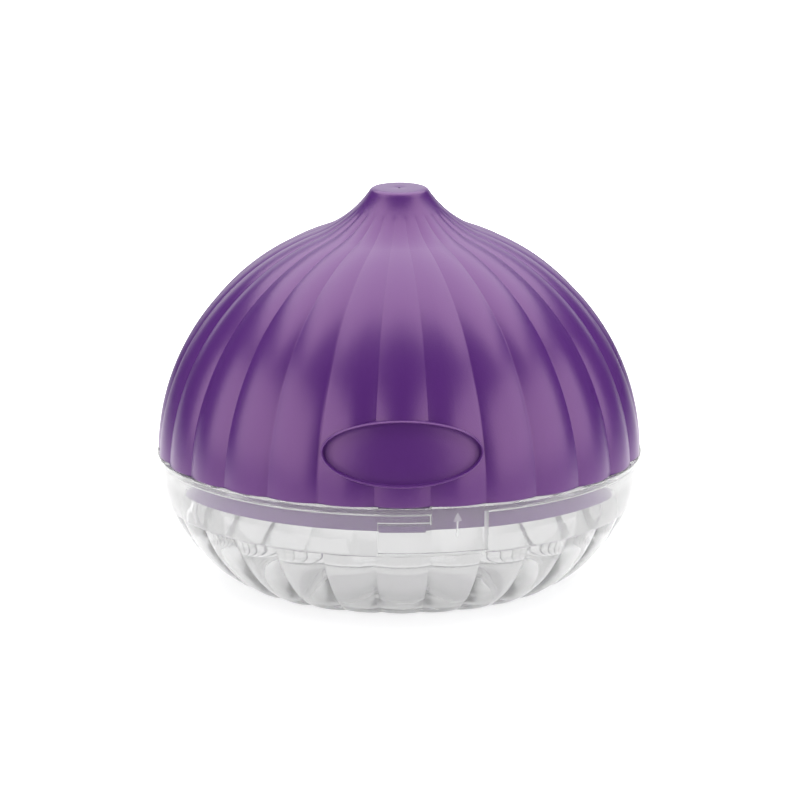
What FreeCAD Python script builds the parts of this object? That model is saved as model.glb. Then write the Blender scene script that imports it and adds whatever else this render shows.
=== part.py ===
import FreeCAD, Part
import math
import os

from FreeCAD import Vector

# Onion keeper: a clear bowl and a purple onion-shaped lid that locks on with a short turn.
# The keeper stands on its foot at height 0, its axis is Z, and the oval plaque faces -Y.

# Round form that both mouldings share
rim_radius = 60.0            # widest radius, at the rim of the bowl
rib_count = 27               # lobes of the onion, all the way round
front_angle = -90.0          # azimuth of the lobe that carries the plaque

# Bowl
bowl_height = 31.5           # foot to rim
belly_run = 18.75            # the outside comes in by this much from the rim to the foot
collar_wall = 4.8            # wall at the rim, from the outside to the channel of the lugs
bowl_wall = 3.6              # wall of the belly, measured from the arc of the outside
floor_thickness = 2.6
foot_width = 4.6             # flat ring that the keeper stands on
foot_recess = 0.8            # hollow under the floor
collar_height = 12.4         # smooth collar, from the rim down to the flutes
flute_inset = 0.4            # step from the collar in to the crests of the flutes
flute_depth = 1.5            # crease between two flutes, below their crests
rim_chamfer = 0.6            # lead-in at the inner edge of the rim

# Rails inside the collar, each with a pocket that holds a lug and a gap that lets it in
lock_count = 3
rail_drop = 2.2              # rim down to the top of the rails
rail_fall = 0.5              # their tops fall towards the middle, to guide the skirt in
rail_reach = 2.8             # rails stand in from the channel
lock_depth = 11.7            # rim down to the floor of the pockets and entry gaps
stop_gap = 0.3               # degrees between a locked lug and the end of its pocket
overhang_angle = 1.4         # degrees that the overhang reaches past a locked lug
entry_gap = 1.45             # degrees free on each side of a lug in its entry gap

# Lid
lid_height = 97.5            # foot to the top of the stub
stub_rise = 7.65             # top of the stub, above the level that the dome alone would reach
rim_gap = 0.25               # air between the rim and the edge of the lid
dome_centre_drop = 1.9       # centre of the dome, below the edge of the lid
lid_wall = 2.8               # wall at the crests of the ribs
rib_depth = 1.0              # crease between two ribs at the edge of the lid
neck_radius = 28.0           # hollow curve from the dome up to the stub
stub_radius = 6.8            # top of the stub, before its edge is rounded
stub_edge = 1.3              # rounding round the top of the stub
fade_radius = 12.0           # radius on the neck where the creases have run out
fade_power = 0.6             # below 1 the creases stay deep on the dome and fade near the neck
gate_radius = 1.3            # dimple at the middle of the stub
gate_depth = 0.3

# Skirt of the lid, which stands inside the collar, and its lugs
skirt_gap = 0.4              # air between the skirt and the rails
skirt_wall = 1.8
skirt_drop = 6.75            # edge of the lid down to the end of the skirt
skirt_chamfer = 0.5
pocket_tip = 1.4             # width at the top of the space between skirt and dome
lug_angle = 11.5             # length of a lug, in degrees round the axis
lug_height = 1.65
lug_gap = 0.4                # air between a lug and the channel behind it
lug_play = 0.3               # air between a lug and the overhang above it

# Oval plaque on the front of the lid, left bare
plaque_width = 39.6
plaque_height = 15.8
plaque_rise = 12.1           # centre of the plaque, above the edge of the lid
plaque_rim = 0.6             # width of its raised rim
plaque_lift = 0.15           # its rim stands proud of the ribs
plaque_depth = 1.1           # its floor lies below the crests of the ribs

# Sections that the two lofts pass through, joined by cubic curves
belly_sections = 6
dome_sections = 9
neck_sections = 4
loft_degree = 3

# Heights, radii and angles that follow from the sizes above
rib_pitch = 360.0 / rib_count
lock_pitch = 360.0 / lock_count
belly_radius = (bowl_height ** 2 + belly_run ** 2) / (2 * belly_run)
flute_top = bowl_height - collar_height
floor_height = foot_recess + floor_thickness
channel_radius = rim_radius - collar_wall
rail_radius = channel_radius - rail_reach
rail_top = bowl_height - rail_drop
lock_floor = bowl_height - lock_depth
belly_centre = rim_radius - belly_radius
wall_drop = math.sqrt((belly_radius - bowl_wall) ** 2 - (rail_radius - belly_centre) ** 2)
wall_top = bowl_height - wall_drop   # the wall stands upright above this, in line with the rails
lid_edge = bowl_height + rim_gap
dome_level = lid_edge - dome_centre_drop
dome_radius = lid_height - stub_rise - dome_level
dome_centre = Vector(rim_radius - dome_radius, 0, dome_level)
dome_inner = dome_radius - lid_wall
skirt_outer = rail_radius - skirt_gap
skirt_inner = skirt_outer - skirt_wall
skirt_end = lid_edge - skirt_drop
lug_radius = channel_radius - lug_gap
lug_top = skirt_end + lug_height
overhang_bottom = lug_top + lug_play
overshoot = 5.0              # how far a cutting solid runs past the surface that it opens


def polar(radius, angle, height):
    turn = math.radians(angle)
    return Vector(radius * math.cos(turn), radius * math.sin(turn), height)


def line(start, end):
    return Part.LineSegment(start, end).toShape()


def arc(start, middle, end):
    return Part.Arc(start, middle, end).toShape()


def rounded(start, corner, end):
    """Curve that rounds a corner off."""
    curve = Part.BezierCurve()
    curve.setPoles([start, corner, end])
    return curve.toShape()


def path(points):
    """Straight edges from point to point."""
    return [line(a, b) for a, b in zip(points, points[1:])]


def turned(edges, start=0.0, sweep=360.0):
    """Solid made by turning a closed outline in the XZ plane round the axis."""
    face = Part.Face(Part.Wire(Part.__sortEdges__(edges)))
    solid = face.revolve(Vector(0, 0, 0), Vector(0, 0, 1), sweep)
    solid.rotate(Vector(0, 0, 0), Vector(0, 0, 1), start)
    return solid


def ring(inner, outer, low, high, start=0.0, sweep=360.0):
    corners = [Vector(inner, 0, low), Vector(outer, 0, low), Vector(outer, 0, high), Vector(inner, 0, high)]
    return turned(path(corners + corners[:1]), start, sweep)


def lobed_wire(crest_radius, crease_depth, height):
    """Closed outline of equal round lobes that meet in sharp creases."""
    arcs = []
    for rib in range(rib_count):
        crest = front_angle + rib * rib_pitch
        start = polar(crest_radius - crease_depth, crest - rib_pitch / 2, height)
        middle = polar(crest_radius, crest, height)
        end = polar(crest_radius - crease_depth, crest + rib_pitch / 2, height)
        arcs.append(arc(start, middle, end))
    return Part.Wire(arcs)


def lobed_solid(wires):
    return Part.makeLoft(wires, True, False, False, loft_degree)


# Bowl

def belly_point(height, inset=0.0):
    """Point on the bowl's outside, an arc that stands upright at the rim, or inset behind it."""
    reach = math.sqrt((belly_radius - inset) ** 2 - (bowl_height - height) ** 2)
    return Vector(belly_centre + reach, 0, height)


def belly_arc(low, high, inset=0.0):
    return arc(belly_point(low, inset), belly_point((low + high) / 2, inset), belly_point(high, inset))


def bowl_outside():
    """Smooth collar above and fluted belly below, both on one upright arc."""
    collar_bottom = belly_point(flute_top)
    flat = [belly_point(bowl_height), Vector(0, 0, bowl_height), Vector(0, 0, flute_top), collar_bottom]
    collar = turned([belly_arc(flute_top, bowl_height)] + path(flat))
    wires = []
    for section in range(belly_sections):
        height = flute_top * section / (belly_sections - 1)
        crest = belly_point(height, flute_inset).x
        wires.append(lobed_wire(crest, flute_depth * crest / collar_bottom.x, height))
    return collar.fuse(lobed_solid(wires))


def bowl_hollow():
    """Space inside the bowl, which leaves the rails standing all the way round."""
    above = bowl_height + overshoot
    mouth_radius = channel_radius + rim_chamfer
    corners = [
        belly_point(wall_top, bowl_wall),
        Vector(rail_radius, 0, rail_top - rail_fall),
        Vector(channel_radius, 0, rail_top),
        Vector(channel_radius, 0, bowl_height - rim_chamfer),
        Vector(mouth_radius, 0, bowl_height),
        Vector(mouth_radius, 0, above),
        Vector(0, 0, above),
        Vector(0, 0, floor_height),
        belly_point(floor_height, bowl_wall),
    ]
    return turned(path(corners) + [belly_arc(floor_height, wall_top, bowl_wall)])


def rail_cut(top, start, sweep):
    """Sector cut out of the rails, from the given height down to the floor of the lock."""
    return ring(rail_radius - overshoot, channel_radius, lock_floor, top, start, sweep)


def lock_cuts():
    """For each lug the pocket that it locks in, and beside it the gap that it enters by."""
    cuts = []
    pocket_sweep = stop_gap + lug_angle + overhang_angle
    entry_sweep = lug_angle + 2 * entry_gap
    for lock in range(lock_count):
        pocket_start = front_angle + lock * lock_pitch - lug_angle / 2 - stop_gap
        cuts.append(rail_cut(overhang_bottom, pocket_start, pocket_sweep))
        cuts.append(rail_cut(bowl_height + overshoot, pocket_start + pocket_sweep, entry_sweep))
    return cuts


def make_bowl():
    foot_outer = belly_point(0, flute_inset).x
    recess = ring(0, foot_outer - foot_width, -overshoot, foot_recess)
    return bowl_outside().cut([bowl_hollow(), recess] + lock_cuts())


# Lid

def neck_centre():
    """Centre of the neck's hollow curve, which touches the dome and ends at the top of the stub."""
    stub = Vector(stub_radius, 0, lid_height)
    to_stub = stub - dome_centre
    span = to_stub.Length
    dome_side = dome_radius + neck_radius
    along = (dome_side ** 2 - neck_radius ** 2 + span ** 2) / (2 * span)
    across = math.sqrt(dome_side ** 2 - along ** 2)
    forward = to_stub / span
    sideways = Vector(forward.z, 0, -forward.x)
    return dome_centre + forward * along + sideways * across


def dome_point(angle, radius=dome_radius):
    """Point on the dome's arc, at an angle above the level of its centre."""
    return dome_centre + Vector(radius * math.cos(angle), 0, radius * math.sin(angle))


def dome_angle(reach, radius):
    """Angle at which an arc of that radius round the dome's centre lies so far from the axis."""
    return math.acos((reach - dome_centre.x) / radius)


def neck_point(angle, radius=neck_radius):
    """Point on the neck's arc, at an angle below the level of its centre."""
    return neck_centre() - Vector(radius * math.cos(angle), 0, radius * math.sin(angle))


def meeting_angle():
    """Angle at which the dome and the neck touch, above the dome's centre."""
    apart = neck_centre() - dome_centre
    return math.atan2(apart.z, apart.x)


def fade_angle():
    return math.acos((neck_centre().x - fade_radius) / neck_radius)


def lid_crests():
    """Crest points of the ribs, from the edge of the lid up to where the creases run out."""
    edge = math.asin(dome_centre_drop / dome_radius)
    meeting = meeting_angle()
    fade = fade_angle()
    points = []
    for section in range(dome_sections):
        points.append(dome_point(edge + (meeting - edge) * section / (dome_sections - 1)))
    for section in range(1, neck_sections + 1):
        points.append(neck_point(meeting + (fade - meeting) * section / neck_sections))
    return points


def ribbed_dome():
    wires = []
    for crest in lid_crests():
        share = max(crest.x - fade_radius, 0) / (rim_radius - fade_radius)
        wires.append(lobed_wire(crest.x, rib_depth * share ** fade_power, crest.z))
    return lobed_solid(wires)


def neck_angle(height, radius):
    """Angle at which a curve of that radius round the neck's centre reaches a height."""
    return math.asin((neck_centre().z - height) / radius)


def neck_arc(start, end, radius=neck_radius):
    return arc(neck_point(start, radius), neck_point((start + end) / 2, radius), neck_point(end, radius))


def stub():
    """Smooth top of the neck, with the rounded stub and its dimple."""
    edge_angle = neck_angle(lid_height - stub_edge, neck_radius)
    low = neck_point(fade_angle())
    side = neck_point(edge_angle)
    corner = Vector(stub_radius, 0, lid_height)
    top = Vector(stub_radius - stub_edge, 0, lid_height)
    flat = [top, Vector(0, 0, lid_height), Vector(0, 0, low.z), low]
    solid = turned([neck_arc(fade_angle(), edge_angle), rounded(side, corner, top)] + path(flat))
    return solid.cut(ring(0, gate_radius, lid_height - gate_depth, lid_height + overshoot))


def skirt_plug():
    """Solid plug that the hollow of the lid turns into the skirt."""
    corners = [
        Vector(0, 0, skirt_end),
        Vector(skirt_outer - skirt_chamfer, 0, skirt_end),
        Vector(skirt_outer, 0, skirt_end + skirt_chamfer),
        Vector(skirt_outer, 0, lid_edge + lid_wall),
        Vector(0, 0, lid_edge + lid_wall),
        Vector(0, 0, skirt_end),
    ]
    return turned(path(corners))


def lugs():
    inner = skirt_outer - skirt_wall / 2
    start = front_angle - lug_angle / 2
    return [ring(inner, lug_radius, skirt_end, lug_top, start + lock * lock_pitch, lug_angle)
            for lock in range(lock_count)]


def dome_arc(start, end, radius):
    return arc(dome_point(start, radius), dome_point((start + end) / 2, radius), dome_point(end, radius))


def lid_hollow():
    """Space inside the lid: straight within the skirt, then one wall behind dome and neck."""
    below = skirt_end - overshoot
    ceiling = lid_height - lid_wall
    neck_outer = neck_radius + lid_wall
    foot_angle = dome_angle(skirt_inner, dome_inner)
    meeting = meeting_angle()
    top_angle = neck_angle(ceiling, neck_outer)
    foot = dome_point(foot_angle, dome_inner)
    top = neck_point(top_angle, neck_outer)
    walls = [dome_arc(foot_angle, meeting, dome_inner), neck_arc(meeting, top_angle, neck_outer)]
    flat = [top, Vector(0, 0, ceiling), Vector(0, 0, below), Vector(skirt_inner, 0, below), foot]
    return turned(walls + path(flat))


def skirt_pocket():
    """Space between the skirt and the dome, open at the edge of the lid."""
    low = math.asin(dome_centre_drop / dome_inner)
    high = dome_angle(skirt_outer + pocket_tip, dome_inner)
    bottom = dome_point(low, dome_inner)
    top = dome_point(high, dome_inner)
    flat = [top, Vector(skirt_outer, 0, top.z), Vector(skirt_outer, 0, bottom.z), bottom]
    return turned([dome_arc(low, high, dome_inner)] + path(flat))


def smooth_dome(radius):
    """Solid dome without ribs, of the given radius round the dome's centre."""
    meeting = meeting_angle()
    low = dome_point(0, radius)
    high = dome_point(meeting, radius)
    flat = [high, Vector(0, 0, high.z), Vector(0, 0, low.z), low]
    return turned([dome_arc(0, meeting, radius)] + path(flat))


def plaque_prism(margin):
    """Oval prism that reaches into the front of the dome, smaller than the plaque by a margin."""
    centre = Vector(0, -rim_radius - overshoot, lid_edge + plaque_rise)
    side = centre + Vector(plaque_width / 2 - margin, 0, 0)
    top = centre + Vector(0, 0, plaque_height / 2 - margin)
    oval = Part.Wire(Part.Ellipse(side, top, centre).toShape())
    return Part.Face(oval).extrude(Vector(0, plaque_width / 2, 0))


def make_lid():
    solid = ribbed_dome().fuse([stub(), skirt_plug()])
    boss = plaque_prism(0).common(smooth_dome(dome_radius + plaque_lift))
    recess = plaque_prism(plaque_rim).cut(smooth_dome(dome_radius - plaque_depth))
    solid = solid.fuse(boss).cut(recess)
    return solid.cut([lid_hollow(), skirt_pocket()]).fuse(lugs())


os.makedirs("parts", exist_ok=True)
for name, shape in {"bowl": make_bowl(), "lid": make_lid()}.items():
    shape.exportStep("parts/" + name + ".step")
    print(name, "valid", shape.isValid(), "solids", len(shape.Solids), "volume", round(shape.Volume))
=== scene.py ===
import math

import bmesh
import bpy
import numpy as np
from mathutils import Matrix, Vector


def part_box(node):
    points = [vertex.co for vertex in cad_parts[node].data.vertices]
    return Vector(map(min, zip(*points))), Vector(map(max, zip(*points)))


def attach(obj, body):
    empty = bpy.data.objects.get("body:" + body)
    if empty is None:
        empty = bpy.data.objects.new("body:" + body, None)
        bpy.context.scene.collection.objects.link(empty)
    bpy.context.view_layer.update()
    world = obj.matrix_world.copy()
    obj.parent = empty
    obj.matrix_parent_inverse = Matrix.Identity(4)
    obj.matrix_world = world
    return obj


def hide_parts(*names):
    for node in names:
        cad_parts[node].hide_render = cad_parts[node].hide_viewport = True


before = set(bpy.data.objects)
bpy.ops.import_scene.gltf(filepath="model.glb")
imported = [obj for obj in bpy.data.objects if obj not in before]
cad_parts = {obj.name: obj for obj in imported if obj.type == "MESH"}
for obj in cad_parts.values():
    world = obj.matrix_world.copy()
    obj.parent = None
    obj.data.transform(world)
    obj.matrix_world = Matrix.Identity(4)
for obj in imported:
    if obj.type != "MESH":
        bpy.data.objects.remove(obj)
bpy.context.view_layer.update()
print("frame loaded:", sorted(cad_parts))

# Lengths are in millimetres, and shellMesh turns them into metres. Only the stage's are in metres from the start.
# phi is the angle round the upright axis, in degrees, from the front (-Y) towards +X.
mm = 0.001
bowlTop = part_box("bowl")[1].z / mm
lidBottom, lidTop = (corner.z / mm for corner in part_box("lid"))
rimRadius = round(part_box("bowl")[1].x / mm, 1)

onion = {
    "ribCount": 27,
    "domeCentre": 29.85,   # height of the middle of the dome's sphere
    "domeRadius": 60.0,
    "neckRadius": 28.0,    # hollow curve between dome and stub
    "ribDepth": 1.0,       # at the edge of the lid
    "fadeRadius": 11.0,    # the creases have run out here
    "fadePower": 0.45,
    "columns": (0.0, 0.25, 0.7, 1.4, 2.4, 3.6, 5.0),  # degrees from a crease, in a lobe of lobeWidth
    "lobeWidth": 13.333,
}
pitch = 360 / onion["ribCount"]


# Shared shapes

# One round lobe a rib: a circle through the crest and both creases. With c the crest radius and v the crease
# radius, its centre lies d = (c^2 - v^2) / (2 (c - v cos(pitch/2))) from the axis and its radius is c - d.
def lobedRadius(phi, crest, depth):
    angle = np.radians((phi + pitch / 2) % pitch - pitch / 2)
    crease = crest - depth
    centre = (crest**2 - crease**2) / (2 * (crest - crease * math.cos(math.radians(pitch / 2))))
    return centre * np.cos(angle) + np.sqrt((crest - centre) ** 2 - (centre * np.sin(angle)) ** 2)


# Painted highlight on the rows over a rounded corner: none at its ends, full in its middle
cornerGlintLevels = (0, 0.8, 1, 0.8, 0)


# Outline whose corners are rounded: a corner c becomes (1-t)^2 a + 2 t (1-t) c + t^2 b,
# where a and b lie the corner's radius away from c on its two sides, but never past the middle of a side.
def roundedOutline(corners, radii):
    rows = []
    for i, radius in enumerate(radii):
        corner = corners[i]
        if radius == 0:
            rows.append(corner)
            continue
        sides = []
        for other in (corners[i - 1], corners[i + 1]):
            way = other - corner
            length = np.linalg.norm(way, axis=-1, keepdims=True)
            sides.append(corner + way * np.minimum(radius / np.maximum(length, 1e-6), 0.48))
        for t in np.linspace(0, 1, len(cornerGlintLevels)):
            rows.append((1 - t) ** 2 * sides[0] + 2 * t * (1 - t) * corner + t**2 * sides[1])
    return rows


# How strongly each row of such an outline lies on a marked rounded edge, which gets a painted highlight
def paintedGlintRows(radii, marks):
    rows = []
    for radius, mark in zip(radii, marks):
        rows += [mark * level for level in (cornerGlintLevels if radius else (0,))]
    return rows


# Point of an outline (radius, height) carried round the axis: (r sin phi, -r cos phi, z)
def turned(radius, height, phi):
    angle = np.radians(phi)
    radius, height, angle = np.broadcast_arrays(radius, height, angle)
    return np.stack([radius * np.sin(angle), -radius * np.cos(angle), height], axis=-1)


# Closed shell from a grid of rows by columns. The columns run round the axis and meet, and the first and last
# row are poles. The faces are turned outwards by the sign of the volume they enclose.
def shellMesh(name, grid, sharpAngle=32, paintedGlint=None):
    rows, columns = grid.shape[:2]
    inner = grid[1:-1].reshape(-1, 3)
    points = np.vstack([grid[0, :1], inner, grid[-1, :1]]) * mm
    start = 1 + np.arange(rows - 3)[:, None] * columns + np.arange(columns)[None]
    beside = 1 + np.arange(rows - 3)[:, None] * columns + (np.arange(columns)[None] + 1) % columns
    quads = np.stack([start, start + columns, beside + columns, beside], axis=-1).reshape(-1, 4)
    around = np.arange(columns)
    first = np.stack([np.zeros(columns, int), 1 + around, 1 + (around + 1) % columns], axis=-1)
    lastRow = 1 + (rows - 3) * columns
    pole = np.full(columns, len(points) - 1)
    last = np.stack([pole, lastRow + (around + 1) % columns, lastRow + around], axis=-1)
    if paintedGlint is None:
        paintedGlint = np.zeros(grid.shape[:2])
    paintedGlint = np.concatenate([paintedGlint[0, :1], paintedGlint[1:-1].ravel(), paintedGlint[-1, :1]])
    return meshMaker(name, points, quads.tolist() + first.tolist() + last.tolist(), sharpAngle, paintedGlint)


# Mesh object of points in metres, with a weight per point for the painted highlight on the clear plastic's edges.
def meshMaker(name, points, faces, sharpAngle, paintedGlint):
    mesh = bpy.data.meshes.new(name)
    mesh.from_pydata(points.tolist(), [], faces)
    # weight of the painted highlight at each point
    mesh.attributes.new("paintedEdgeGlint", "FLOAT", "POINT").data.foreach_set("value", paintedGlint.astype(np.float32))
    work = bmesh.new()
    work.from_mesh(mesh)
    bmesh.ops.remove_doubles(work, verts=work.verts, dist=1e-7)
    if work.calc_volume(signed=True) < 0:
        bmesh.ops.reverse_faces(work, faces=work.faces)
    work.to_mesh(mesh)
    work.free()
    mesh.shade_smooth()
    mesh.set_sharp_from_angle(angle=math.radians(sharpAngle))
    piece = bpy.data.objects.new(name, mesh)
    bpy.context.collection.objects.link(piece)
    print(name, "has", len(mesh.polygons), "faces")
    return piece


# Angles of the columns in one lobe, crowded towards its creases
def lobeColumns(first, last):
    steps = np.array(onion["columns"]) * pitch / onion["lobeWidth"]
    half = np.concatenate([steps, [pitch / 2], pitch - steps[:0:-1]])
    return np.concatenate([crest * pitch - pitch / 2 + half for crest in range(first, last + 1)])


# Lid

lid = {
    "wall": 2.8,
    "edge": 31.75,          # height of the lid's edge
    "edgeRound": 0.35,
    "stubRadius": 6.8,
    "stubRound": 1.3,
    "gateRadius": 1.3,      # shallow dish that the mould's gate leaves in the stub
    "gateDepth": 0.15,
    "gateRounds": (0.5, 0.6),
    "skirtOuter": 52.0,
    "skirtWall": 1.8,
    "skirtRound": 0.4,
    "pocketTip": 1.4,
    "pocketRound": 0.3,
    "lugCount": 3,
    "lugAngle": 11.5,
    "lugHeight": 1.65,
    "lugRadius": 54.8,
    "lugRounds": (0.25, 0.3),
    "hollowRounds": (1.5, 1.0),  # at the skirt's top and at the neck's ceiling
    "neckRows": 26,
    "domeRows": 30,
    "paintedGlintRows": 7,          # from the oval's patch down to the edge
    "pocketRows": 9,
    "hollowRows": 24,
    "neckHollowRows": 14,
}

plaque = {
    "halfWidth": 19.55,
    "halfHeight": 7.9,
    "rise": 12.7,           # middle of the oval, above the lid's edge
    "span": 20.0,           # degrees from the middle to the crease beside the oval
    "core": 0.67,           # share of the patch where the oval's own outline lies
    # from the outline inwards: how far inside it, and how high above the dome
    "rim": ((0.0, 0.03), (0.05, 0.2), (0.12, 0.32), (0.28, 0.4), (0.42, 0.34), (0.5, 0.22),
            (0.54, 0.02), (0.58, -0.86), (0.64, -1.05), (0.78, -1.1)),
    "middleLevels": (0.08, 0.16, 0.24),
    "floorLevels": (0.45, 0.52),
    "outerLevels": (0.74, 0.82),
    "ringStep": 0.008,      # share of the patch between two rows of the rim
    "creaseStep": 0.25,     # degrees between the rows that follow a crease
}


# Radius of the dome's crests at height z: sqrt(R^2 - (z - c)^2), a sphere of radius R about the height c
def crestRadius(height):
    return np.sqrt(onion["domeRadius"] ** 2 - (height - onion["domeCentre"]) ** 2)


# Depth of the creases where the crests have a radius: the full depth times s^p, where s is the share of the way
# from the fade radius out to the rim and p the fade power
def ribDepth(crest):
    share = np.clip((crest - onion["fadeRadius"]) / (rimRadius - onion["fadeRadius"]), 0, 1)
    return onion["ribDepth"] * share ** onion["fadePower"]


# Centre of the neck's arc: it touches the dome's sphere from outside and ends at the edge of the stub's top
def neckCentre():
    toStub = np.array([lid["stubRadius"], lidTop - onion["domeCentre"]])
    span = np.linalg.norm(toStub)
    reach = onion["domeRadius"] + onion["neckRadius"]
    along = (reach**2 - onion["neckRadius"] ** 2 + span**2) / (2 * span)
    forward = toStub / span
    sideways = np.array([forward[1], -forward[0]])
    middle = forward * along + sideways * math.sqrt(reach**2 - along**2)
    return middle + [0, onion["domeCentre"]]


# Points of an arc at angles t from start to end: (cx + r cos t, cy + r sin t)
def arcPoints(centre, radius, start, end, count):
    angle = np.linspace(start, end, count)
    return np.stack([centre[0] + radius * np.cos(angle), centre[1] + radius * np.sin(angle)], axis=-1)


# Levels of the patch that holds the oval, from its middle (0) to its border (1), and for each level inside the
# oval how far it lies inside the outline and how high above the dome. Crowded levels follow the creases.
def plaqueLevels():
    core = plaque["core"]
    crease = pitch / 2 / plaque["span"]
    near = plaque["creaseStep"] / plaque["span"]
    ring = core - plaque["ringStep"] * (1 + np.arange(len(plaque["rim"])))
    byCrease = [crease - 3 * near, crease - near, crease, crease + near, crease + 3 * near]
    outside = [core, *plaque["outerLevels"], 1 - 6 * near, 1 - 3 * near, 1 - near, 1]
    levels = np.concatenate([plaque["middleLevels"], byCrease, plaque["floorLevels"], ring[::-1], outside])
    insets, lifts = zip(*plaque["rim"][::-1])
    inset = np.interp(levels, ring[::-1], insets)
    lift = np.interp(levels, ring[::-1], lifts)
    return levels, inset, lift, ring[-1]


# Patch of the dome round the oval, as a square of levels a across and b up. Inside the core, the ring
# max(|a|, |b|) = s is the oval shrunk by its inset, on a sphere of the dome's radius plus its lift. Outside it,
# columns stay upright above and below the oval and rows stay level beside it, out to the patch's border.
def plaquePatch():
    levels, inset, lift, floorLevel = plaqueLevels()
    core, spanAngle = plaque["core"], plaque["span"]
    width, height = plaque["halfWidth"], plaque["halfHeight"]
    low = lid["edge"] + plaque["rise"] - onion["domeCentre"]
    radius = onion["domeRadius"]

    def ovalHeight(phi, side):
        p = (np.sin(np.radians(phi)) / width) ** 2
        a = 1 / height**2 - p
        return (low * p + side * np.sqrt((low * p) ** 2 - a * ((radius**2 - low**2) * p - 1))) / a

    def ovalAngle(z):
        x = width * np.sqrt(1 - (z / height) ** 2)
        return np.degrees(np.arcsin(x / np.sqrt(radius**2 - (low + z) ** 2)))

    across = np.concatenate([-levels[::-1], [0], levels])
    a, b = across[None, :], across[::-1][:, None]
    a, b = np.broadcast_arrays(a, b)
    s = np.maximum(np.abs(a), np.abs(b))
    upright = np.abs(b) >= np.abs(a)
    side = np.where(b >= 0, 1.0, -1.0)
    halfPatch = np.where(side > 0, ovalHeight(spanAngle * core, 1), -ovalHeight(spanAngle * core, -1)) / core

    # outside the oval: upright columns above and below, level rows beside
    inColumn = np.minimum(np.abs(a), core)
    start = np.maximum(core, np.minimum(np.abs(a), np.abs(b)))
    share = np.where(s > start, (s - start) / np.maximum(1 - start, 1e-9), 0)
    zStart = np.where(np.abs(a) <= core, np.abs(ovalHeight(spanAngle * inColumn, side)), halfPatch * np.abs(a))
    zUp = zStart + (halfPatch - zStart) * share
    inRow = np.minimum(np.abs(b), core)
    phiStart = np.where(np.abs(b) <= core, ovalAngle(side * halfPatch * inRow), spanAngle * np.abs(b))
    phiSide = phiStart + (spanAngle - phiStart) * share
    phi = np.where(upright, spanAngle * a, np.sign(a) * phiSide)
    z = np.where(upright, side * zUp, halfPatch * b)
    crest = np.sqrt(radius**2 - (low + z) ** 2)
    outside = turned(lobedRadius(phi, crest, ribDepth(crest)), onion["domeCentre"] + low + z, phi)

    # inside: the same direction on the outline, drawn in to the ring's own size
    t = np.divide(a, s, out=np.zeros_like(s), where=s > 0)
    w = np.divide(b, s, out=np.zeros_like(s), where=s > 0)
    zTop = ovalHeight(spanAngle * core * t, side)
    xTop = np.sqrt(radius**2 - (low + zTop) ** 2) * np.sin(np.radians(spanAngle * core * t))
    zSide = halfPatch * core * w
    xSide = np.sign(a) * width * np.sqrt(np.clip(1 - (zSide / height) ** 2, 0, 1))
    xOval, zOval = np.where(upright, xTop, xSide), np.where(upright, zTop, zSide)
    ringInset = np.interp(s, levels, inset)
    shrink = np.minimum(s / floorLevel, 1)
    x = xOval * (width - ringInset) / width * shrink
    z = zOval * (height - ringInset) / height * shrink
    sphere = radius + np.interp(s, levels, lift)
    y = -np.sqrt(sphere**2 - (low + z) ** 2 - x**2)
    inside = np.stack([x, y, onion["domeCentre"] + low + z], axis=-1)

    patch = np.where((s >= core - 1e-9)[..., None], outside, inside)
    heights = onion["domeCentre"] + low + across[::-1] * halfPatch[:, 0]
    return spanAngle * across, heights, patch


# Lugs are a little shorter than the lobes above them, so on the skirt the columns move in with them
def skirtColumns(phi):
    offset = (phi + pitch / 2) % pitch - pitch / 2
    lobe = np.round((phi - offset) / pitch).astype(int) % onion["ribCount"]
    everyLug = onion["ribCount"] // lid["lugCount"]
    place = phi % (360 / lid["lugCount"])
    place = np.where(place > 180 / lid["lugCount"], place - 360 / lid["lugCount"], place)
    knots = np.array([0, pitch / 2, pitch])
    moved = np.sign(place) * np.interp(np.abs(place), knots, [0, lid["lugAngle"] / 2, pitch])
    moved = np.where(np.abs(place) < pitch, moved, place)
    isLug = (lobe % everyLug == 0) | (np.abs(np.abs(place) - pitch / 2) < 1e-6)
    return phi + moved - place, isLug


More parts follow.
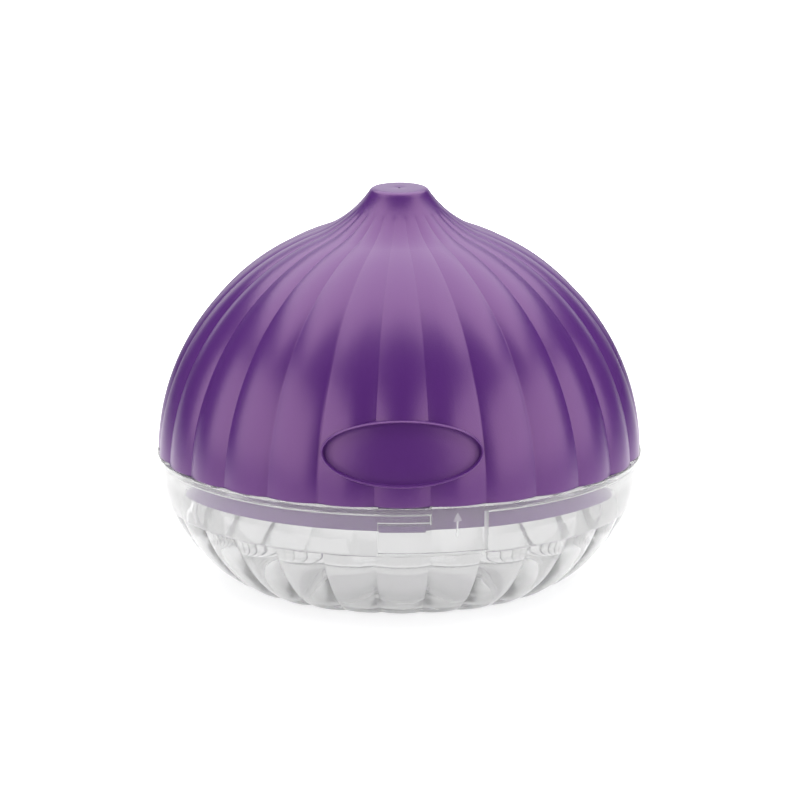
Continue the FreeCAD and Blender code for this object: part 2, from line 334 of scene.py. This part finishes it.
# Lid: the lobed dome with the oval's patch set in, then under its edge the pocket, the skirt with its lugs and
# the plain hollow, all on the same columns
def makeLid():
    centre = neckCentre()
    neckRadius = onion["neckRadius"]
    domeMiddle = np.array([0, onion["domeCentre"]])
    meeting = math.atan2(centre[1] - onion["domeCentre"], centre[0])
    patchPhi, patchHeights, patch = plaquePatch()
    otherLobes = lobeColumns(2, onion["ribCount"] - 2)[:-1]
    phi = np.concatenate([patchPhi[:-1], np.unique(np.round(otherLobes, 6))])

    # stub and neck, from the middle outwards and down
    gate, depth = lid["gateRadius"], lid["gateDepth"]
    sideAngle = math.asin((centre[1] - lidTop + lid["stubRound"]) / neckRadius)
    neckSide = centre - neckRadius * np.array([math.cos(sideAngle), math.sin(sideAngle)])
    dish = [(0, lidTop - depth), (gate / 2, lidTop - depth), (gate * 1.5, lidTop)]
    stubTop = [np.array(point, float) for point in dish + [(lid["stubRadius"], lidTop), neckSide]]
    stub = roundedOutline(stubTop, [0, *lid["gateRounds"], lid["stubRound"], 0])[:-1]
    neck = arcPoints(centre, neckRadius, math.pi + sideAngle, math.pi + meeting, lid["neckRows"])
    patchAngle = math.asin((patchHeights[0] - onion["domeCentre"]) / onion["domeRadius"])
    dome = arcPoints(domeMiddle, onion["domeRadius"], meeting, patchAngle, lid["domeRows"])
    below = np.linspace(patchHeights[-1], lid["edge"] + lid["edgeRound"], lid["paintedGlintRows"])[1:]
    upper = np.vstack([np.array(stub), neck, dome[1:-1]])
    profile = np.vstack([upper, np.stack([crestRadius(patchHeights), patchHeights], axis=-1),
                         np.stack([crestRadius(below), below], axis=-1)])
    crest, height = profile[:, :1], profile[:, 1:]
    outer = turned(lobedRadius(phi[None], crest, ribDepth(crest)), height, phi[None])
    firstPatchRow = len(upper)
    outer[firstPatchRow:firstPatchRow + len(patchHeights), :len(patchPhi)] = patch

    # edge, pocket, skirt and hollow, from the edge inwards
    skirtPhi, isLug = skirtColumns(phi)
    innerRadius = onion["domeRadius"] - lid["wall"]
    edgeCrest = crestRadius(lid["edge"])
    edgeRadius = lobedRadius(phi, edgeCrest, ribDepth(edgeCrest))
    pocketTop = lid["skirtOuter"] + lid["pocketTip"]
    pocketHeight = onion["domeCentre"] + math.sqrt(innerRadius**2 - pocketTop**2)
    lowAngle = math.asin((lid["edge"] - onion["domeCentre"]) / innerRadius)
    pocketAngle = math.acos(pocketTop / innerRadius)
    pocketArc = arcPoints(domeMiddle, innerRadius, lowAngle, pocketAngle, lid["pocketRows"])
    skirtInner = lid["skirtOuter"] - lid["skirtWall"]
    hollowFoot = math.acos(skirtInner / innerRadius)
    neckOuter = neckRadius + lid["wall"]
    ceiling = lidTop - lid["wall"]
    topAngle = math.asin((centre[1] - ceiling) / neckOuter)
    lugTop = lidBottom + lid["lugHeight"]
    foot = np.where(isLug, lid["lugRadius"], lid["skirtOuter"])

    def column(radius, z):
        return np.stack(np.broadcast_arrays(radius, float(z), phi * 0)[:2], axis=-1)

    corners = [column(edgeRadius, lid["edge"] + lid["edgeRound"] * 2), column(edgeRadius, lid["edge"])]
    radii = [0, lid["edgeRound"]]
    corners += [column(r, z) for r, z in pocketArc]
    radii += [lid["pocketRound"]] + [0] * (len(pocketArc) - 2) + [lid["pocketRound"]]
    rowsAbove = len(roundedOutline(corners + corners[:1], radii))
    corners += [column(lid["skirtOuter"], pocketHeight), column(lid["skirtOuter"], lugTop), column(foot, lugTop),
                column(foot, lidBottom), column(skirtInner, lidBottom)]
    radii += [lid["pocketRound"], *lid["lugRounds"], lid["skirtRound"], lid["skirtRound"]]
    domeHollow = arcPoints(domeMiddle, innerRadius, hollowFoot, meeting, lid["hollowRows"])
    neckHollow = arcPoints(centre, neckOuter, math.pi + meeting, math.pi + topAngle, lid["neckHollowRows"])
    hollow = np.vstack([domeHollow, neckHollow[1:], [[0, ceiling]]])
    corners += [column(r, z) for r, z in hollow]
    radii += [lid["hollowRounds"][0]] + [0] * (len(hollow) - 3) + [lid["hollowRounds"][1], 0]
    rows = np.array(roundedOutline(corners, radii))[1:]
    angles = np.where(np.arange(len(rows))[:, None] < rowsAbove, phi[None], skirtPhi[None])
    inner = turned(rows[..., 0], rows[..., 1], angles)
    return shellMesh("lid_shell", np.vstack([outer, inner]))


# Bowl

bowl = {
    "bellyRadius": 35.8345,  # upright arc of the outside, standing upright at the rim
    "wall": 3.6,
    "floor": 3.4,           # height of the floor inside
    "recess": 0.8,
    "recessRound": 0.5,
    "footWidth": 4.6,
    "footRounds": (0.3, 0.45),  # on its inner and its outer edge
    "fluteTop": 19.1,
    "fluteInset": 0.4,
    "fluteDepth": 1.5,
    "stepRounds": (0.2, 0.25),  # between the flutes and the collar
    "rimRound": 0.25,
    "rimChamfer": 0.6,
    "channelRadius": 55.2,
    "channelRound": 0.15,
    "railRadius": 52.4,
    "railTop": 29.3,
    "railFall": 0.5,
    "railRound": 0.2,
    "railFootRound": 2.0,
    "lockFloor": 19.8,
    "lockFloorRound": 0.25,
    "floorRound": 1.2,
    "overhangBottom": 26.95,
    "pocketStart": -6.05,   # degrees from the middle of a lug
    "pocketEnd": 7.15,
    "entryEnd": 21.55,
    "lockPitch": 120,
    "edgeStep": 0.06,       # half the width of an upright wall in the rails, in degrees
    "fluteRows": 26,
    "collarRows": 16,
    "insideRows": 20,
    "fluteRise": 1.0,       # lowest row of the flutes
    "stepGap": 0.6,         # from the step to the next rows on both sides
    "rimGap": 0.8,
    "insideDrop": 2.1,      # from the rails' foot to the next row
    "tolerance": 0.1,       # in telling which rows lie on the rails
    "floorPaintedGlint": 0.8,      # how strong the painted highlight is on the floor's edge and on the end wall of a way in
    "wallPaintedGlint": 0.25,
}


# Outside of the bowl, or a wall inset from it: R - B + sqrt((B - inset)^2 - (h - z)^2), an upright arc whose
# centre is at the height h of the rim, with R the rim's radius and B the belly's
def bellyRadiusAt(height, inset=0.0):
    reach = np.sqrt((bowl["bellyRadius"] - inset) ** 2 - (bowlTop - height) ** 2)
    return rimRadius - bowl["bellyRadius"] + reach


# Flutes: round lobes whose crests lie inset from the belly and whose depth falls with the crests' radius
def fluteRadiusAt(height, phi):
    crest = bellyRadiusAt(height, bowl["fluteInset"])
    depth = bowl["fluteDepth"] * crest / bellyRadiusAt(bowl["fluteTop"])
    return lobedRadius(phi, crest, depth)


# Bowl: from under the foot up the flutes and the collar, over the rim, down the rails and the inside. Each row
# has one radius or height for pockets, one for ways in and one for plain rail.
def makeBowl():
    edges = [bowl["pocketStart"], bowl["pocketEnd"], bowl["entryEnd"]]
    step, lockPitch = bowl["edgeStep"], bowl["lockPitch"]
    extra = [lock + edge + side * step
             for lock in range(0, 360, lockPitch) for edge in edges for side in (-4, -1, 1, 4)]
    phi = np.concatenate([lobeColumns(0, onion["ribCount"] - 1)[:-1], np.array(extra)]) % 360
    phi = np.unique(np.round(phi, 6))
    place = (phi - bowl["pocketStart"]) % lockPitch + bowl["pocketStart"]
    isPocket = (place > bowl["pocketStart"]) & (place < bowl["pocketEnd"])
    isEntry = (place > bowl["pocketEnd"]) & (place < bowl["entryEnd"])

    def column(radius, z):
        return np.stack(np.broadcast_arrays(radius, z, phi * 0)[:2], axis=-1)

    # under the foot, up the flutes and the collar to the rim
    recessRadius = bellyRadiusAt(0, bowl["fluteInset"]) - bowl["footWidth"]
    corners = [column(0, bowl["recess"]), column(recessRadius / 2, bowl["recess"]),
               column(recessRadius, bowl["recess"]), column(recessRadius, 0), column(fluteRadiusAt(0, phi), 0)]
    radii = [0, 0, bowl["recessRound"], *bowl["footRounds"]]
    for z in np.linspace(bowl["fluteRise"], bowl["fluteTop"] - bowl["stepGap"], bowl["fluteRows"]):
        corners.append(column(fluteRadiusAt(z, phi), z))
        radii.append(0)
    corners += [column(fluteRadiusAt(bowl["fluteTop"], phi), bowl["fluteTop"]),
                column(bellyRadiusAt(bowl["fluteTop"]), bowl["fluteTop"])]
    radii += bowl["stepRounds"]
    for z in np.linspace(bowl["fluteTop"] + bowl["stepGap"], bowlTop - bowl["rimGap"], bowl["collarRows"]):
        corners.append(column(bellyRadiusAt(z), z))
        radii.append(0)

    # over the rim, down the channel and the rails to the floor
    channel, rail = bowl["channelRadius"], bowl["railRadius"]
    upperFace = np.where(isEntry, channel, rail)
    lowerFace = np.where(isEntry | isPocket, channel, rail)
    upperEdge = bowl["railTop"] - bowl["railFall"] * (channel - upperFace) / (channel - rail)
    run = rail - rimRadius + bowl["bellyRadius"]
    wallTop = bowlTop - math.sqrt((bowl["bellyRadius"] - bowl["wall"]) ** 2 - run**2)
    channelTop = len(corners) + 3
    corners += [column(rimRadius, bowlTop), column(channel + bowl["rimChamfer"], bowlTop),
                column(channel, bowlTop - bowl["rimChamfer"]), column(channel, bowl["railTop"]),
                column(upperFace, upperEdge), column(upperFace, bowl["overhangBottom"]),
                column(lowerFace, bowl["overhangBottom"]), column(lowerFace, bowl["lockFloor"]),
                column(rail, bowl["lockFloor"]), column(rail, wallTop)]
    chamfered, railEdge, lockFloor = bowl["channelRound"], bowl["railRound"], bowl["lockFloorRound"]
    radii += [bowl["rimRound"], chamfered, chamfered, railEdge, railEdge, railEdge, chamfered,
              lockFloor, lockFloor, bowl["railFootRound"]]
    for z in np.linspace(wallTop - bowl["insideDrop"], bowl["floor"] + bowl["floorRound"], bowl["insideRows"]):
        corners.append(column(bellyRadiusAt(z, bowl["wall"]), z))
        radii.append(0)
    corners += [column(bellyRadiusAt(bowl["floor"], bowl["wall"]), bowl["floor"]),
                column(recessRadius / 2, bowl["floor"]), column(0, bowl["floor"])]
    radii += [bowl["floorRound"], 0, 0]
    rows = np.array(roundedOutline(corners, radii))

    # edges of the rails that get a painted highlight: level ones first, then the upright ones at their ends
    plain = phi * 0
    marks = [plain] * len(radii)
    floorEdge = bowl["floorPaintedGlint"] * (isPocket | isEntry)
    marks[channelTop + 1:channelTop + 6] = [plain + ~isEntry, plain + isPocket, plain, plain, floorEdge]
    paintedGlint = np.array(paintedGlintRows(radii, marks))
    startEdge = place > lockPitch + bowl["pocketStart"] - 2 * step
    pocketEdge = np.abs(place - bowl["pocketEnd"] + step) < step / 2
    entryEdge = np.abs(place - bowl["entryEnd"] - step) < step / 2
    endWall = np.abs(place - bowl["entryEnd"] + step) < step / 2
    radius, height = rows[..., 0], rows[..., 1]
    inside = np.arange(len(rows))[:, None] >= len(paintedGlintRows(radii[:channelTop], marks))
    near = bowl["tolerance"]
    onRail = inside & (radius < channel - near)
    lower = (height > bowl["lockFloor"] - 3 * near) & (height < bowl["overhangBottom"] + near)
    upper = (height > bowl["overhangBottom"] - near) & (height < bowl["railTop"])
    upright = onRail & ((lower & startEdge) | (upper & pocketEdge) | ((lower | upper) & entryEdge))
    end = bowl["wallPaintedGlint"] * (endWall & (lower | upper) & (radius < channel + near))
    # painted highlight on the rails' edges, as weights on the mesh
    paintedGlint = np.maximum(paintedGlint, np.maximum(upright, end))
    return shellMesh("bowl_shell", turned(radius, height, phi[None]), paintedGlint=paintedGlint)


# Mark moulded on the collar before the way in at the front: an upright arrow of a thin shaft and a small head
arrow = {
    "phi": 12.75,
    "tip": 30.2,            # heights on the collar
    "tail": 24.3,
    "tipWidth": 0.24,
    "headHeight": 2.0,
    "headWidth": 2.3,
    "shaftWidth": 0.44,
    "lift": 0.28,
    "sink": 0.06,
    "headRows": 6,
    "shaftRows": 12,
    "headFoot": 0.02,       # half the height over which head narrows to shaft
    "headPaintedGlint": 0.03,      # how strong the painted highlight is on head and shaft
    "shaftPaintedGlint": 0.22,
    # across the strip: shares of its half width and of the lift, where -1 is its back
    "outline": ((-1, -1.0), (-1, 0.6), (-0.8, 1.0), (0, 1.0), (0.8, 1.0), (1, 0.6), (1, -1.0), (0, -1.0)),
}


# A strip up the collar: half width w(v) widens from the tip to the head's foot and is narrow along the shaft,
# and its face stands the lift above the collar while its back lies just under it.
def makeArrow():
    headFoot = arrow["tip"] - arrow["headHeight"]
    heights = np.array([arrow["tip"], headFoot + arrow["headFoot"], headFoot - arrow["headFoot"], arrow["tail"]])
    widths = np.array([arrow["tipWidth"], arrow["headWidth"], arrow["shaftWidth"], arrow["shaftWidth"]])
    head = np.linspace(heights[0], heights[1], arrow["headRows"])
    shaft = np.linspace(heights[2], heights[3], arrow["shaftRows"])
    z = np.concatenate([head, shaft])
    half = np.interp(-z, -heights, widths / 2)
    outline = np.array(arrow["outline"])
    lift = np.where(outline[:, 1] > 0, outline[:, 1] * arrow["lift"], -arrow["sink"])
    radius = bellyRadiusAt(z)[:, None] + lift[None]
    phi = arrow["phi"] + np.degrees(half[:, None] * outline[None, :, 0] / radius)
    grid = turned(radius, z[:, None], phi)
    middle = grid.mean(axis=1, keepdims=True)
    grid = np.concatenate([np.repeat(middle[:1], len(outline), axis=1), grid,
                           np.repeat(middle[-1:], len(outline), axis=1)])
    # painted highlight on the arrow, stronger on its shaft than on its head
    onHead = np.arange(len(grid)) < 1 + len(head)
    paintedGlint = np.where(onHead, arrow["headPaintedGlint"], arrow["shaftPaintedGlint"])[:, None]
    return shellMesh("arrow_mark", grid, paintedGlint=np.broadcast_to(paintedGlint, grid.shape[:2]))


# Materials

def newMaterial(name):
    material = bpy.data.materials.new(name)
    material.use_nodes = True
    material.node_tree.nodes.clear()
    return material, material.node_tree.nodes, material.node_tree.links


# Math node of two inputs, each a socket or a number
def mathNode(nodes, links, operation, a, b, clamp=False):
    node = nodes.new("ShaderNodeMath")
    node.operation, node.use_clamp = operation, clamp
    for place, given in enumerate((a, b)):
        if isinstance(given, bpy.types.NodeSocket):
            links.new(given, node.inputs[place])
        else:
            node.inputs[place].default_value = given
    return node.outputs["Value"]


# Sets the ends that a MapRange node takes and gives
def setRange(node, taken, given):
    if taken:
        node.inputs["From Min"].default_value, node.inputs["From Max"].default_value = taken
    node.inputs["To Min"].default_value, node.inputs["To Max"].default_value = given


# Most values of a noise lie between these
noiseSpread = (0.3, 0.7)


# Noise n on Object coordinates as low + (high - low) (n - 0.3) / 0.4; grain is its scale and detail
def noiseRange(nodes, links, coordinates, grain, low, high):
    noise = nodes.new("ShaderNodeTexNoise")
    noise.inputs["Scale"].default_value, noise.inputs["Detail"].default_value = grain
    spread = nodes.new("ShaderNodeMapRange")
    setRange(spread, noiseSpread, (low, high))
    links.new(coordinates, noise.inputs["Vector"])
    links.new(noise.outputs["Fac"], spread.inputs["Value"])
    return spread.outputs["Result"]


purple = {
    "colour": (0.068, 0.0135, 0.142, 1),
    "paleColour": (0.078, 0.016, 0.157, 1),
    "roughness": (0.27, 0.34),
    "ior": 1.58,
    "specular": 0.75,
    "glossTint": (1.0, 0.62, 0.88, 1),
    "mottle": (14, 3),      # scale and detail of each noise
    "smears": (30, 4),
    "grain": (2600, 2),
    "grainDepth": 0.00002,
    "grainStrength": 0.35,
}


# Opaque plastic: its colour drifts from colour to paleColour and its roughness between two ends, each by a
# noise of its own, over a fine grain.
def purplePlastic():
    material, nodes, links = newMaterial("purplePlastic")
    output = nodes.new("ShaderNodeOutputMaterial")
    shader = nodes.new("ShaderNodeBsdfPrincipled")
    shader.inputs["IOR"].default_value = purple["ior"]
    shader.inputs["Specular IOR Level"].default_value = purple["specular"]
    shader.inputs["Specular Tint"].default_value = purple["glossTint"]
    coordinates = nodes.new("ShaderNodeTexCoord").outputs["Object"]
    blend = nodes.new("ShaderNodeMix")
    blend.data_type = "RGBA"
    blend.inputs["A"].default_value = purple["colour"]
    blend.inputs["B"].default_value = purple["paleColour"]
    links.new(noiseRange(nodes, links, coordinates, purple["mottle"], 0, 1), blend.inputs["Factor"])
    links.new(blend.outputs["Result"], shader.inputs["Base Color"])
    roughness = noiseRange(nodes, links, coordinates, purple["smears"], *purple["roughness"])
    links.new(roughness, shader.inputs["Roughness"])
    bump = nodes.new("ShaderNodeBump")
    bump.inputs["Strength"].default_value = purple["grainStrength"]
    bump.inputs["Distance"].default_value = purple["grainDepth"]
    links.new(noiseRange(nodes, links, coordinates, purple["grain"], 0, 1), bump.inputs["Height"])
    links.new(bump.outputs["Normal"], shader.inputs["Normal"])
    links.new(shader.outputs["BSDF"], output.inputs["Surface"])
    return material


clear = {
    "colour": (0.98, 0.98, 0.98, 1),
    "roughness": (0.025, 0.05),
    "transmission": (0.925, 0.0),  # on plain faces, and on the rails' edges, where none passes so that they show as a painted white highlight
    "ior": 1.5,
    "shadowTint": (0.9, 0.91, 0.91, 1),
    "smears": (60, 3),      # scale and detail of each noise
    "waves": (90, 2),
    "waveDepth": 0.00003,
    "waveStrength": 0.5,
}


# Clear plastic: the share of light that passes falls from plain faces to edges by the mesh's edge weights, so the
# marked edges show opaque white as a painted highlight, and light on its way to a lamp passes as if through
# tinted glass that doesn't bend it.
def clearPlastic():
    material, nodes, links = newMaterial("clearPlastic")
    output = nodes.new("ShaderNodeOutputMaterial")
    shader = nodes.new("ShaderNodeBsdfPrincipled")
    shader.inputs["Base Color"].default_value = clear["colour"]
    shader.inputs["IOR"].default_value = clear["ior"]
    edge = nodes.new("ShaderNodeAttribute")
    edge.attribute_name = "paintedEdgeGlint"
    hazy = nodes.new("ShaderNodeMapRange")
    setRange(hazy, None, clear["transmission"])
    links.new(edge.outputs["Fac"], hazy.inputs["Value"])
    links.new(hazy.outputs["Result"], shader.inputs["Transmission Weight"])
    coordinates = nodes.new("ShaderNodeTexCoord").outputs["Object"]
    roughness = noiseRange(nodes, links, coordinates, clear["smears"], *clear["roughness"])
    links.new(roughness, shader.inputs["Roughness"])
    bump = nodes.new("ShaderNodeBump")
    bump.inputs["Strength"].default_value = clear["waveStrength"]
    bump.inputs["Distance"].default_value = clear["waveDepth"]
    links.new(noiseRange(nodes, links, coordinates, clear["waves"], 0, 1), bump.inputs["Height"])
    links.new(bump.outputs["Normal"], shader.inputs["Normal"])
    lets = nodes.new("ShaderNodeBsdfTransparent")
    lets.inputs["Color"].default_value = clear["shadowTint"]
    path = nodes.new("ShaderNodeLightPath")
    mix = nodes.new("ShaderNodeMixShader")
    links.new(path.outputs["Is Shadow Ray"], mix.inputs["Fac"])
    links.new(shader.outputs["BSDF"], mix.inputs[1])
    links.new(lets.outputs["BSDF"], mix.inputs[2])
    links.new(mix.outputs["Shader"], output.inputs["Surface"])
    return material


# Stage

# Metres, and strengths of light
studio = {
    "ambient": 0.136,
    "glossFront": 0.048,
    "glossBack": 1.15,
    "backReach": (0.8, 0.95),     # share of a ray's way towards +Y, from front to back
    "seenThrough": 0.465,         # white backdrop as it shows through the clear plastic
    "floorColour": 0.8,
    "floorShade": 0.1,            # its colour for rays through the clear plastic
    # glow for them by distance from the axis, which dips round the bowl's foot as a painted contact shadow
    "floorThrough": ((0, 0.76), (0.026, 0.67), (0.037, 0.43), (0.042, 0.47), (0.052, 0.7), (0.07, 0.72),
                     (0.1, 0.54)),
    "floorLift": (0.5, 1.0),      # glow to the camera under the keeper and far from it
    "liftReach": (0.1, 0.6),      # distances over which the glow grows
    "floorGloss": (0.62, -0.6),   # glow in the lid's reflections, near the keeper and far from it
    "glossReach": (0.18, 0.3),
    "floorRadius": 4.0,
    "floorRings": 3,
    "floorStep": 6,               # degrees between two of its corners
    "floorGap": 0.00003,          # keeps it just clear of the foot
}


# Two shares for each ray: how white the plain background shows, which is 1 to the camera, seenThrough through
# the clear plastic and 0 to other rays, and whether the ray is a reflection off something opaque.
def whiteRays(nodes, links):
    path = nodes.new("ShaderNodeLightPath").outputs
    through = mathNode(nodes, links, "MULTIPLY", path["Is Transmission Ray"], studio["seenThrough"])
    white = mathNode(nodes, links, "MAXIMUM", path["Is Camera Ray"], through)
    reflected = mathNode(nodes, links, "SUBTRACT", path["Is Glossy Ray"], path["Is Transmission Ray"], clamp=True)
    return white, reflected


# World strength: shown = white + (1 - white) lit, where lit is the ambient or, for a reflection, the gloss,
# which grows from glossFront to glossBack towards the back.
def makeWorld():
    world = bpy.data.worlds.new("studioWorld")
    world.use_nodes = True
    nodes, links = world.node_tree.nodes, world.node_tree.links
    nodes.clear()
    output = nodes.new("ShaderNodeOutputWorld")
    background = nodes.new("ShaderNodeBackground")
    background.inputs["Color"].default_value = (1, 1, 1, 1)
    white, glossy = whiteRays(nodes, links)
    coordinates = nodes.new("ShaderNodeTexCoord")
    parts = nodes.new("ShaderNodeSeparateXYZ")
    links.new(coordinates.outputs["Generated"], parts.inputs["Vector"])
    towardsBack = nodes.new("ShaderNodeMapRange")
    towardsBack.interpolation_type = "SMOOTHSTEP"
    setRange(towardsBack, studio["backReach"], (studio["glossFront"], studio["glossBack"]))
    links.new(parts.outputs["Y"], towardsBack.inputs["Value"])
    lit = nodes.new("ShaderNodeMix")
    lit.inputs["A"].default_value = studio["ambient"]
    links.new(glossy, lit.inputs["Factor"])
    links.new(towardsBack.outputs["Result"], lit.inputs["B"])
    shown = nodes.new("ShaderNodeMix")
    shown.inputs["B"].default_value = 1
    links.new(white, shown.inputs["Factor"])
    links.new(lit.outputs["Result"], shown.inputs["A"])
    links.new(shown.outputs["Result"], background.inputs["Strength"])
    links.new(background.outputs["Background"], output.inputs["Surface"])
    bpy.context.scene.world = world


# Round sheet of paper that glows by the ray that meets it: to the camera, in reflections and through the clear
# plastic, each by distance from the axis. Its diffuse part takes the keeper's shadow.
def makeFloor():
    radius = np.linspace(0, studio["floorRadius"], studio["floorRings"] + 1)[1:, None]
    phi = np.radians(np.arange(0, 360, studio["floorStep"]))
    level = 0 * radius * phi - studio["floorGap"]
    points = np.stack([radius * np.cos(phi), radius * np.sin(phi), level], axis=-1)
    points = np.vstack([[[0, 0, -studio["floorGap"]]], points.reshape(-1, 3)])
    columns = len(phi)
    pairs = [(i, (i + 1) % columns) for i in range(columns)]
    faces = [(0, 1 + i, 1 + j) for i, j in pairs]
    for ring in range(len(radius) - 1):
        low = 1 + ring * columns
        faces += [(low + i, low + columns + i, low + columns + j, low + j) for i, j in pairs]
    mesh = bpy.data.meshes.new("floor")
    mesh.from_pydata(points.tolist(), [], faces)
    floor = bpy.data.objects.new("floor", mesh)
    bpy.context.collection.objects.link(floor)
    material, nodes, links = newMaterial("floorPaper")
    output = nodes.new("ShaderNodeOutputMaterial")
    paper = nodes.new("ShaderNodeBsdfDiffuse")
    glow = nodes.new("ShaderNodeEmission")
    path = nodes.new("ShaderNodeLightPath").outputs
    length = nodes.new("ShaderNodeVectorMath")
    length.operation = "LENGTH"
    links.new(nodes.new("ShaderNodeTexCoord").outputs["Object"], length.inputs[0])
    distance = length.outputs["Value"]

    def grows(reach, ends):
        growth = nodes.new("ShaderNodeMapRange")
        growth.interpolation_type = "SMOOTHSTEP"
        setRange(growth, reach, ends)
        links.new(distance, growth.inputs["Value"])
        return growth.outputs["Result"]

    lift = grows(studio["liftReach"], studio["floorLift"])
    gloss = grows(studio["glossReach"], studio["floorGloss"])
    toCamera = mathNode(nodes, links, "MULTIPLY", path["Is Camera Ray"], lift)
    toGloss = mathNode(nodes, links, "MULTIPLY", whiteRays(nodes, links)[1], gloss)
    steps = nodes.new("ShaderNodeFloatCurve")
    curve = steps.mapping.curves[0]
    farthest = studio["floorThrough"][-1][0]
    for place, (reach, strength) in enumerate(studio["floorThrough"]):
        if place > 1:
            curve.points.new(reach / farthest, strength)
        else:
            curve.points[place].location = (reach / farthest, strength)
    steps.mapping.extend = "HORIZONTAL"
    steps.mapping.update()
    links.new(mathNode(nodes, links, "DIVIDE", distance, farthest), steps.inputs["Value"])
    through = mathNode(nodes, links, "MULTIPLY", path["Is Transmission Ray"], steps.outputs["Value"])
    opaque = mathNode(nodes, links, "ADD", toCamera, toGloss)
    links.new(mathNode(nodes, links, "ADD", opaque, through), glow.inputs["Strength"])
    shade = nodes.new("ShaderNodeMix")
    shade.inputs["A"].default_value = studio["floorColour"]
    shade.inputs["B"].default_value = studio["floorShade"]
    links.new(path["Is Transmission Ray"], shade.inputs["Factor"])
    links.new(shade.outputs["Result"], paper.inputs["Color"])
    add = nodes.new("ShaderNodeAddShader")
    links.new(paper.outputs["BSDF"], add.inputs[0])
    links.new(glow.outputs["Emission"], add.inputs[1])
    links.new(add.outputs["Shader"], output.inputs["Surface"])
    floor.data.materials.append(material)


# Softboxes: radiance is what each of their faces gives off, so the lamp's energy is radiance pi width height
lamps = {
    "top": {"place": (0.04, 0.38, 0.75), "aim": (0.04, 0.38, 0), "size": (1.5, 1.2), "radiance": 2.65},
    "left": {"place": (-0.627, -0.333, 0.265), "aim": (0, 0, 0.045), "size": (1.1, 0.51), "radiance": 2.15},
    "right": {"place": (0.627, -0.333, 0.265), "aim": (0, 0, 0.045), "size": (1.1, 0.51), "radiance": 2.15},
}


def makeLamps():
    for name, lamp in lamps.items():
        data = bpy.data.lights.new(name + "Softbox", "AREA")
        data.shape = "RECTANGLE"
        data.size, data.size_y = lamp["size"]
        data.energy = lamp["radiance"] * math.pi * data.size * data.size_y
        light = bpy.data.objects.new(name + "Softbox", data)
        light.location = lamp["place"]
        direction = Vector(lamp["aim"]) - Vector(lamp["place"])
        light.rotation_euler = direction.to_track_quat("-Z", "Y").to_euler()
        light.visible_camera = False
        bpy.context.collection.objects.link(light)


camera = {
    "target": 31.3,         # height on the axis that the distance is measured to
    "distance": 1500.0,
    "azimuth": -0.73,
    "elevation": 14.4,
    "pitch": 13.944,        # the camera looks down by this
    "lens": 271.68,
    "sensor": 36,
    "shift": 0.0009,
    "clip": (0.1, 20),      # metres
}


def makeCamera():
    data = bpy.data.cameras.new("photoCamera")
    data.lens = camera["lens"]
    data.sensor_width = camera["sensor"]
    data.shift_x = camera["shift"]
    data.clip_start, data.clip_end = camera["clip"]
    view = bpy.data.objects.new("photoCamera", data)
    turn, rise = math.radians(camera["azimuth"]), math.radians(camera["elevation"])
    reach = camera["distance"] * mm
    level = reach * math.cos(rise)
    height = camera["target"] * mm + reach * math.sin(rise)
    view.location = (level * math.sin(turn), -level * math.cos(turn), height)
    view.rotation_euler = (math.radians(90 - camera["pitch"]), 0, turn)
    bpy.context.collection.objects.link(view)
    bpy.context.scene.camera = view


makeCamera()
makeWorld()
makeFloor()
makeLamps()
scene = bpy.context.scene
scene.view_settings.view_transform = "Standard"
# Light runs round inside the clear plastic, and is followed that far
scene.cycles.max_bounces = 24
scene.cycles.glossy_bounces = 20
scene.cycles.transmission_bounces = 24
print("studio ready")

lidShell = makeLid()
lidShell.data.materials.append(purplePlastic())
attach(lidShell, "cover")
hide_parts("lid")
print("lid ready")

bowlShell = makeBowl()
clearMaterial = clearPlastic()
bowlShell.data.materials.append(clearMaterial)
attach(bowlShell, "base")
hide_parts("bowl")

arrowMark = makeArrow()
arrowMark.data.materials.append(clearMaterial)
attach(arrowMark, "base")
print("bowl ready")
